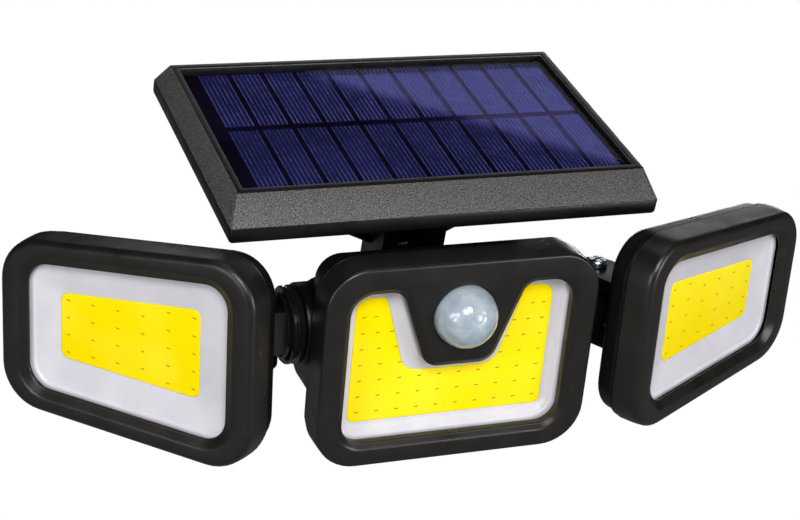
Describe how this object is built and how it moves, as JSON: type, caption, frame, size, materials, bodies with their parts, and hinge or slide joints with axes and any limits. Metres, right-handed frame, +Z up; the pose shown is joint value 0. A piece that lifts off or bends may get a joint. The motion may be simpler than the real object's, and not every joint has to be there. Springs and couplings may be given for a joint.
{
  "type": "solar flood light",
  "caption": "Wall-mounted solar flood light: sloping solar panel over a tilting lamp with a motion sensor and two swivelling side heads.",
  "frame": {"origin": "centre of the wall bracket's back face, in the plane of the wall", "axes": "+Z up, +Y into the wall, so the lamp faces -Y, and +X to the right of somebody who looks at the lamp"},
  "size_m": [0.3066, 0.1417, 0.1128],
  "materials": {
    "black_plastic": "satin moulded",
    "grained_plastic": "fine grained",
    "white_reflector": "satin white",
    "phosphor": "yellow phosphor coating",
    "clear_plastic": "clear",
    "milky_lens": "translucent faceted",
    "solar_cells": "dark blue cells with thin silver lines",
    "glass": "clear, polished",
    "steel": "zinc plated",
    "silicone": "dark silicone",
    "circuit_board": "green solder mask",
    "battery_wrap": "blue shrink wrap over a metal can"
  },
  "bodies": {
    "panel_and_bracket": {"wall_bracket": "black_plastic", "bracket_screw_left": "steel", "bracket_screw_right": "steel", "panel_frame": "grained_plastic", "panel_back_cover": "black_plastic", "panel_glass": "glass", "solar_cells": "solar_cells", "panel_gasket": "silicone", "battery_cell": "battery_wrap", "battery_holder": "black_plastic", "cover_screw_1": "steel", "cover_screw_2": "steel", "cover_screw_3": "steel", "cover_screw_4": "steel", "tilt_bolt": "steel", "tilt_nut": "steel"},
    "centre_lamp": {"centre_rear_housing": "black_plastic", "centre_bezel": "black_plastic", "centre_gasket": "silicone", "centre_reflector": "white_reflector", "centre_light_board": "white_reflector", "centre_phosphor": "phosphor", "centre_window": "clear_plastic", "pir_lens": "milky_lens", "pir_sensor": "steel", "control_board": "circuit_board", "centre_case_screw_1": "steel", "centre_case_screw_2": "steel", "centre_case_screw_3": "steel", "centre_case_screw_4": "steel"},
    "button": {"mode_button": "silicone"},
    "left_arm_body": {"left_arm": "black_plastic", "left_arm_washer": "steel", "left_arm_screw": "steel"},
    "left_head": {"left_bezel": "black_plastic", "left_rear_shell": "black_plastic", "left_gasket": "silicone", "left_reflector": "white_reflector", "left_light_board": "white_reflector", "left_phosphor": "phosphor", "left_window": "clear_plastic", "left_hinge_screw": "steel", "left_hinge_nut": "steel", "left_case_screw_1": "steel", "left_case_screw_2": "steel"},
    "right_arm_body": {"right_arm": "black_plastic", "right_arm_washer": "steel", "right_arm_screw": "steel"},
    "right_head": {"right_bezel": "black_plastic", "right_rear_shell": "black_plastic", "right_gasket": "silicone", "right_reflector": "white_reflector", "right_light_board": "white_reflector", "right_phosphor": "phosphor", "right_window": "clear_plastic", "right_hinge_screw": "steel", "right_hinge_nut": "steel", "right_case_screw_1": "steel", "right_case_screw_2": "steel"}
  },
  "joints": [
    {"name": "lamp_tilt", "type": "hinge", "parent": "panel_and_bracket", "child": "centre_lamp", "pos_m": [0, -0.0654, -0.02], "axis": [1, 0, 0], "range_deg": [-1, 35]},
    {"name": "left_arm_swivel", "type": "hinge", "parent": "centre_lamp", "child": "left_arm_body", "pos_m": [-0.068, -0.097, -0.0242], "axis": [1, 0, 0], "range_deg": [-1, 70]},
    {"name": "left_head_yaw", "type": "hinge", "parent": "left_arm_body", "child": "left_head", "pos_m": [-0.068, -0.097, -0.0242], "axis": [0, -0.1045, -0.9945], "range_deg": [-25, 44]},
    {"name": "right_arm_swivel", "type": "hinge", "parent": "centre_lamp", "child": "right_arm_body", "pos_m": [0.068, -0.097, -0.0242], "axis": [1, 0, 0], "range_deg": [-5, 66]},
    {"name": "right_head_yaw", "type": "hinge", "parent": "right_arm_body", "child": "right_head", "pos_m": [0.068, -0.097, -0.0242], "axis": [0, 0.0332, 0.9995], "range_deg": [-6, 64]},
    {"name": "mode_button_press", "type": "slide", "parent": "centre_lamp", "child": "button", "axis": [0, 0, 1], "range_m": [0, 0.0015]}
  ]
}
